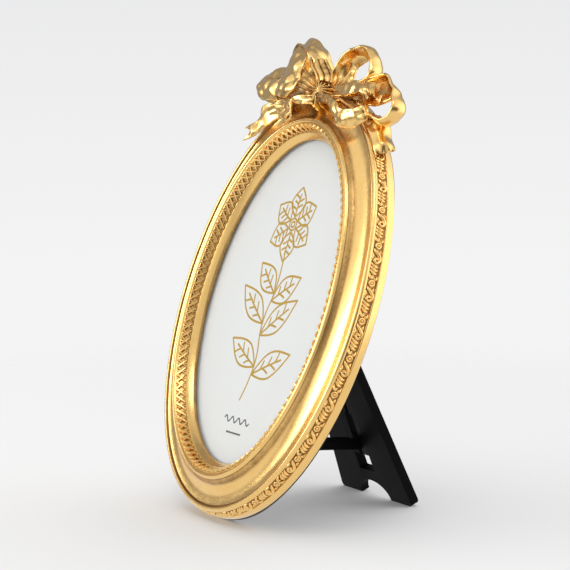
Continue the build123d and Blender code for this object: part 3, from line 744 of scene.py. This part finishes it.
hand_over(knot, "frame", gilding, ["bow_knot"], 60)

# %% [markdown]
# ## Card, print and glass
# Behind the glass lies a white card with a drawing in thin gold lines. The drawing here is a plain garden
# sprig. Printed lines have no thickness that shows, but as flat curves they stay sharp at any size. The
# glass bends what is seen through it, so its edge shows as a thin dark line beside the card. It lets the
# light of the lamps and the room straight through, and adds a little gloss.

# %% Card and glass finishes
def card_finish():
    card = Finish("card")
    fibre = card.noise(2600, 4, 0.6)
    colour = card.mix(fibre, (0.77, 0.77, 0.775, 1), (0.82, 0.82, 0.82, 1))
    return card.surface({"Base Color": colour, "Roughness": 0.6,
                         "Normal": card.bump(fibre, 0.05, 0.05 * mm)})


def ink_finish(name, dark_tone, light_tone):
    ink = Finish(name)
    patches = ink.noise(500, 3)
    colour = ink.mix(patches, dark_tone, light_tone)
    return ink.surface({"Base Color": colour, "Roughness": 0.5 + patches * 0.1})


def glass_finish():
    glass = Finish("glazing")
    tint = (0.985, 0.99, 0.985, 1)
    gloss = glass.node("ShaderNodeFresnel", {}, {"IOR": 1.45})
    clear = glass.node("ShaderNodeBsdfTransparent", {}, {"Color": tint})
    bent = glass.node("ShaderNodeBsdfRefraction", {}, {"Color": tint, "Roughness": 0.0, "IOR": 1.5})
    lighting = glass.ray(shadow_ray) + glass.ray(diffuse_ray)
    through = glass.node("ShaderNodeMixShader", {}, {0: lighting, 1: bent, 2: clear})
    shine = glass.node("ShaderNodeBsdfGlossy", {}, {"Roughness": 0.02})
    pane = glass.node("ShaderNodeMixShader", {}, {0: gloss * 0.15, 1: through, 2: shine})
    glass.node("ShaderNodeOutputMaterial", {}, {0: pane})
    return glass.owner


card_white, clear_glass = card_finish(), glass_finish()
gold_ink = ink_finish("gold_ink", (0.44, 0.25, 0.008, 1), (0.54, 0.325, 0.016, 1))
grey_ink = ink_finish("grey_ink", (0.06, 0.06, 0.06, 1), (0.11, 0.11, 0.11, 1))
print("card, ink and glass finishes are ready")

# %% [markdown]
# Card and glass are cut to the rebate, which is wider than the sight edge all round. They are flat ovals with
# edges that are only just broken, and they keep flat shading, because smooth shading across those edges
# would bend the light in the pane.

# %% Card and pane
rebate = 6.0 * mm
card_back, card_front = 3.8 * mm, 4.25 * mm
glass_back, glass_front = 4.4 * mm, 6.25 * mm
flat_plate_angle = 10


def round_edges(piece, width, sharper_than):
    """Edges sharper than an angle are rounded."""
    edge = piece.modifiers.new("edge", "BEVEL")
    edge.width = width
    edge.segments = 2
    edge.limit_method = "ANGLE"
    edge.angle_limit = math.radians(sharper_than)
    apply_all(piece)


def oval_plate(name, margin, back, front, rounding):
    """Flat oval plate, from a circle that is filled, stretched, thickened and rounded."""
    bpy.ops.object.select_all(action="DESELECT")
    bpy.ops.mesh.primitive_circle_add(vertices=160, radius=1, fill_type="NGON")
    plate = bpy.context.object
    plate.name = name
    edit(plate)
    bpy.ops.transform.resize(value=(sight_half_width + margin, sight_half_height + margin, 1))
    bpy.ops.transform.translate(value=(0, 0, back))
    bpy.ops.mesh.extrude_region_move(TRANSFORM_OT_translate={"value": (0, 0, front - back)})
    leave_edit()
    clean(plate)
    round_edges(plate, rounding, 30)
    stand(plate)
    return plate


pane = oval_plate("glass_pane", rebate, glass_back, glass_front, 0.25 * mm)
hand_over(pane, "frame", clear_glass, ["glass"], flat_plate_angle)
picture_card = oval_plate("picture_card", rebate, card_back, card_front, 0.05 * mm)
hand_over(picture_card, "frame", card_white, ["insert_card"], flat_plate_angle)

# %% [markdown]
# The sprig is drawn with leaf outlines along a stem and a round blossom on top, as splines of one curve. A
# leaf is drawn once at any length, turned and moved to its place on the stem.

# %% The drawing on the card
print_height, print_flatness = 4.26 * mm, 0.06


def draw(points, closed=False):
    """One line of the drawing, from places in millimetres."""
    spline = drawing.data.splines.new("NURBS")
    spline.points.add(len(points) - 1)
    for point, (x, y) in zip(spline.points, points):
        point.co = (x * mm, y * mm, 0, 1)
    spline.use_cyclic_u = closed
    spline.use_endpoint_u = not closed
    spline.order_u = 3
    spline.resolution_u = 8


def print_on_card(line_width, ink):
    """The drawing's lines pressed flat on the card."""
    drawing.data.bevel_depth = line_width / 2
    drawing.data.bevel_resolution = 1
    printed = as_mesh(drawing)
    edit(printed)
    bpy.ops.transform.resize(value=(1, 1, print_flatness))
    bpy.ops.transform.translate(value=(0, 0, print_height))
    leave_edit()
    stand(printed)
    hand_over(printed, "frame", ink)


def turned(points, angle, place):
    """Places turned about the origin and moved."""
    c, s = math.cos(math.radians(angle)), math.sin(math.radians(angle))
    return [(place[0] + c * x - s * y, place[1] + s * x + c * y) for x, y in points]


def draw_leaf(place, angle, length, width):
    """Outline, midrib and veins of a leaf that starts at a place."""
    outline = [(0, 0), (0.28, 0.75), (0.62, 0.85), (1, 0), (1, 0), (0.62, -0.75), (0.28, -0.85), (0, 0)]
    rib = [(0, 0), (0.4, 0.06), (0.78, -0.04)]
    lines = [outline, rib]
    for start, side in [(0.22, 1), (0.42, 1), (0.62, 1), (0.3, -1), (0.5, -1)]:
        lines.append([(start, 0), (start + 0.08, 0.28 * side), (start + 0.12, 0.5 * side)])
    for line in lines:
        draw(turned([(x * length, y * width) for x, y in line], angle, place))


drawing = new_curve("sprig_print")
leaf_width = 8.0
draw([(-3, -52), (4, -34), (-4, -12), (3, 8), (0, 26)])
for place, angle, length in [((1.2, -38), 24, 27), ((1.6, -34), 156, 25), ((-1.6, -18), 38, 27),
                             ((-2.0, -12), 146, 27), ((0.0, 0), 32, 21), ((0.6, 4), 142, 20)]:
    draw_leaf(place, angle, 1.2 * length, leaf_width)
blossom, petals = (0, 40), 6
for petal in range(petals):
    angle = 90 + 360 / petals * petal
    start = turned([(4.0, 0)], angle, blossom)[0]
    draw_leaf(start, angle, 15.5, leaf_width)
for radius in (3.4, 1.6):
    ring = [(radius * math.cos(k * math.pi / 4), radius * math.sin(k * math.pi / 4)) for k in range(8)]
    draw([(blossom[0] + x, blossom[1] + y) for x, y in ring], closed=True)
print_on_card(1.1 * mm, gold_ink)

# %% [markdown]
# At the foot of the card are two short lines in grey: a wave and a plain rule. They are drawn and pressed
# flat as the sprig is, in a finer line.

# %% Grey lines at the foot
drawing = new_curve("foot_print")
for start in (-12, -6, 0, 6):
    draw([(start, -62), (start + 1.5, -60), (start + 3, -62), (start + 4.5, -64), (start + 6, -62)])
draw([(-7, -68.5), (0, -68.5), (7, -68.5)])
print_on_card(0.9 * mm, grey_ink)

# %% [markdown]
# ## Boards, leg and metal fittings
# These are right in shape in the CAD model. Real boards and stampings have no knife edges, so each is
# taken as a copy, its loose triangles merged and its flat faces joined up, and a small bevel breaks the
# edges so that they catch the light.

# %% Finishes of the boards, leg and fittings
def flock_finish():
    flock = Finish("black_flock")
    fibre = flock.noise(7000, 3, 0.7)
    nap = flock.noise(60, 3)
    colour = flock.mix(nap * 0.6 + fibre * 0.4, (0.010, 0.010, 0.011, 1), (0.034, 0.033, 0.034, 1))
    return flock.surface({"Base Color": colour, "Roughness": 0.85 + fibre * 0.1, "Sheen Weight": 0.25,
                          "Sheen Roughness": 0.5, "Normal": flock.bump(fibre, 0.5, 0.15 * mm)})


def filler_finish():
    board = Finish("filler")
    fibre = board.noise(1600, 4, 0.65)
    pulp = board.noise(180, 3)
    colour = board.mix(fibre * 0.6 + pulp * 0.4, (0.28, 0.185, 0.09, 1), (0.42, 0.30, 0.17, 1))
    return board.surface({"Base Color": colour, "Roughness": 0.8 + pulp * 0.1,
                          "Normal": board.bump(fibre, 0.3, 0.1 * mm)})


def leg_finish():
    paper = Finish("black_leg")
    grain = paper.noise(2400, 4, 0.65)
    patches = paper.noise(90, 4)
    colour = paper.mix(patches, (0.0014, 0.0013, 0.0013, 1), (0.0042, 0.0040, 0.0040, 1))
    return paper.surface({"Base Color": colour, "Roughness": 0.44 + patches * 0.16,
                          "Specular IOR Level": 0.04, "Normal": paper.bump(grain, 0.35, 0.1 * mm)})


def zinc_finish():
    zinc = Finish("zinc")
    brushed = zinc.noise(1800, 3, 0.6)
    dull = zinc.noise(220, 4)
    colour = zinc.mix(dull, (0.50, 0.51, 0.53, 1), (0.66, 0.66, 0.66, 1))
    return zinc.surface({"Base Color": colour, "Metallic": 1.0, "Roughness": 0.28 + dull * 0.2,
                         "Normal": zinc.bump(brushed, 0.12, 0.05 * mm)})


flock, brown_board = flock_finish(), filler_finish()
black_paper, zinc = leg_finish(), zinc_finish()
print("board, leg and metal finishes are ready")

# %% [markdown]
# The leg with its leaf of the hinge, the stay and the four catches ride on bodies of their own, so they turn
# with their joints. Everything else stays with the frame.

# %% Pieces with broken edges
def softened(node, rounding):
    """A copy of a CAD node with its flat faces joined up and its edges rounded."""
    piece = bpy.data.objects.new(node + "_piece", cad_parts[node].data.copy())
    bpy.context.collection.objects.link(piece)
    edit(piece)
    bpy.ops.mesh.remove_doubles(threshold=0.002 * mm)
    bpy.ops.mesh.dissolve_limited(angle_limit=math.radians(0.5))
    leave_edit()
    round_edges(piece, rounding, 40)
    return piece


for node, body, slot, finish, rounding in [
    ("rear_rim", "frame", "black_flock", flock, 0.3),
    ("filler_board", "frame", "filler", brown_board, 0.1),
    ("easel_board", "frame", "black_flock", flock, 0.3),
    ("strut", "leg", "black_leg", black_paper, 0.45),
    ("stay_arm", "stay", "black_leg", black_paper, 0.25),
    ("hinge_leaf_board", "frame", "zinc", zinc, 0.12),
    ("hinge_leaf_strut", "leg", "zinc", zinc, 0.12),
    ("hinge_pin", "frame", "zinc", zinc, 0.12),
    ("hinge_board_rivets", "frame", "zinc", zinc, 0.3),
    ("hinge_strut_rivets", "leg", "zinc", zinc, 0.3),
    ("stay_bracket", "frame", "zinc", zinc, 0.12),
    ("stay_pin", "frame", "zinc", zinc, 0.1),
    ("bracket_rivets", "frame", "zinc", zinc, 0.3),
    ("button_screws", "frame", "zinc", zinc, 0.4),
    ("turn_button_1", "catch_1", "zinc", zinc, 0.25),
    ("turn_button_2", "catch_2", "zinc", zinc, 0.25),
    ("turn_button_3", "catch_3", "zinc", zinc, 0.25),
    ("turn_button_4", "catch_4", "zinc", zinc, 0.25),
]:
    hand_over(softened(node, rounding * mm), body, finish, [node], 25)

# %% [markdown]
# ## Camera, floor and light
# The frame is seen from its right, from a little above its middle, with a long lens. It stands on a pale
# floor that takes its shadow and fades out into the colour of the world around, so no horizon shows.

# %% Camera
azimuth, elevation = math.radians(58.56), math.radians(4.73)
distance, shift_right, shift_up = 797.2 * mm, 2.65 * mm, 9.36 * mm
focal_pixels, picture_pixels = 1590, 570
back = Vector((math.sin(azimuth) * math.cos(elevation), -math.cos(azimuth) * math.cos(elevation),
               math.sin(elevation)))
right = Vector((math.cos(azimuth), math.sin(azimuth), 0))
up = back.cross(right)
bpy.ops.object.select_all(action="DESELECT")
bpy.ops.object.camera_add()
camera = bpy.context.object
camera.location = oval_centre + back * distance + right * shift_right + up * shift_up
camera.rotation_mode = "QUATERNION"
camera.rotation_quaternion = (-back).to_track_quat("-Z", "Y")
camera.data.sensor_width = 36
camera.data.lens = camera.data.sensor_width * focal_pixels / picture_pixels
camera.data.clip_start = 0.05
bpy.context.scene.camera = camera
print("camera at", [round(x, 4) for x in camera.location])

# %% Floor
def floor_finish():
    floor = Finish("floor")
    away = floor.node("ShaderNodeVectorMath", {"operation": "LENGTH"}, {0: floor.place()}, 1)
    fade = floor.steps(away, 0.32, 0.85)
    open_air = floor.node("ShaderNodeBsdfTransparent")
    pale = floor.node("ShaderNodeBsdfDiffuse", {}, {"Color": (0.67, 0.67, 0.67, 1)})
    paper = floor.node("ShaderNodeEmission", {}, {"Color": (0.93, 0.93, 0.93, 1), "Strength": 1.0})
    share = floor.ray(camera_ray) * 0.14 + floor.ray(glossy_ray) * 0.8
    lit = floor.node("ShaderNodeMixShader", {}, {0: share, 1: pale, 2: paper})
    both = floor.node("ShaderNodeMixShader", {}, {0: fade, 1: lit, 2: open_air})
    floor.node("ShaderNodeOutputMaterial", {}, {0: both})
    return floor.owner


bpy.ops.object.select_all(action="DESELECT")
bpy.ops.mesh.primitive_circle_add(vertices=64, radius=0.9, fill_type="NGON")
floor = bpy.context.object
floor.name = "floor"
floor.data.materials.append(floor_finish())
print("floor made")

# %% [markdown]
# Matt surfaces get soft daylight, most of it from high behind. Gold shows what it mirrors, so it gets a
# studio of its own: a grey room with a bright sweep behind on the right, bright panels in front, and a dark
# place beside the camera that gives the gold its brown. Three lamps add direction: a broad one from the
# front left, one overhead, and a small one high on the right for the glints.

# %% World and lamps
world = bpy.data.worlds.new("studio")
bpy.context.scene.world = world
studio = Finish("studio", world)
towards = studio.node("ShaderNodeTexCoord", output=0)
height = studio.node("ShaderNodeSeparateXYZ", {}, {0: towards}, 2)
seen, mirrored = studio.ray(camera_ray), studio.ray(glossy_ray)


def grey(level):
    return (level, level, level, 1)


def side_of_room(way, low, high):
    """The part of the room around a direction."""
    side = studio.node("ShaderNodeVectorMath", {"operation": "DOT_PRODUCT"}, {0: towards, 1: way}, 1)
    return studio.steps(side, low, high)


daylight = studio.mix(side_of_room((0.0, -0.98, 0.2), -0.3, 0.4), grey(0.5), (0.83, 0.83, 0.835, 1))
for part, level in [(side_of_room((0.2, 0.70, 0.69), 0.1, 0.7), 1.6),
                    (side_of_room((0.95, -0.28, 0.1), 0.3, 0.8), 0.45)]:
    daylight = studio.mix(part, daylight, grey(level))
around = studio.mix(mirrored, daylight, (0.34, 0.34, 0.35, 1))
strip = studio.steps(height, 0.03, 0.12) * (1 - studio.steps(height, 0.40, 0.52))
for part, level in [(side_of_room((0.80, 0.60, 0.0), 0.2, 0.8), 1.7),
                    (side_of_room((0.45, -0.80, 0.38), 0.72, 0.95), 0.8),
                    (side_of_room((-0.33, -0.72, 0.61), 0.80, 0.95), 1.0),
                    (side_of_room((-0.2, -0.95, 0.2), 0.76, 0.90) * strip, 1.9)]:
    around = studio.mix(part * mirrored, around, grey(level))
dark = side_of_room((0.95, -0.30, 0.0), 0.86, 0.97)
around = studio.mix(dark * mirrored, around, (0.12, 0.11, 0.10, 1))
backdrop = studio.mix(studio.steps(height, -0.12, 0.22), grey(0.905), (0.80, 0.80, 0.815, 1))
sky = studio.mix(seen, around, backdrop)
light = studio.node("ShaderNodeBackground", {}, {"Color": sky, "Strength": 1.0})
studio.node("ShaderNodeOutputWorld", {}, {0: light})


def lamp(name, place, width, height, power):
    """Soft lamp with a flat front, aimed at the frame."""
    bpy.ops.object.select_all(action="DESELECT")
    bpy.ops.object.light_add(type="AREA", location=place)
    made = bpy.context.object
    made.name = name
    made.data.shape = "RECTANGLE"
    made.data.size = width
    made.data.size_y = height
    made.data.energy = power
    made.rotation_mode = "QUATERNION"
    made.rotation_quaternion = (oval_centre - made.location).to_track_quat("-Z", "Y")


lamp("key", (-0.73, -1.37, 0.52), 1.3, 0.5, 8.2)
lamp("overhead", (0.1, 0.1, 1.2), 1.0, 1.0, 1.2)
lamp("glints", (0.45, -0.45, 1.2), 0.4, 0.4, 1.8)
bpy.context.scene.view_settings.view_transform = "Standard"
print("lamps made")
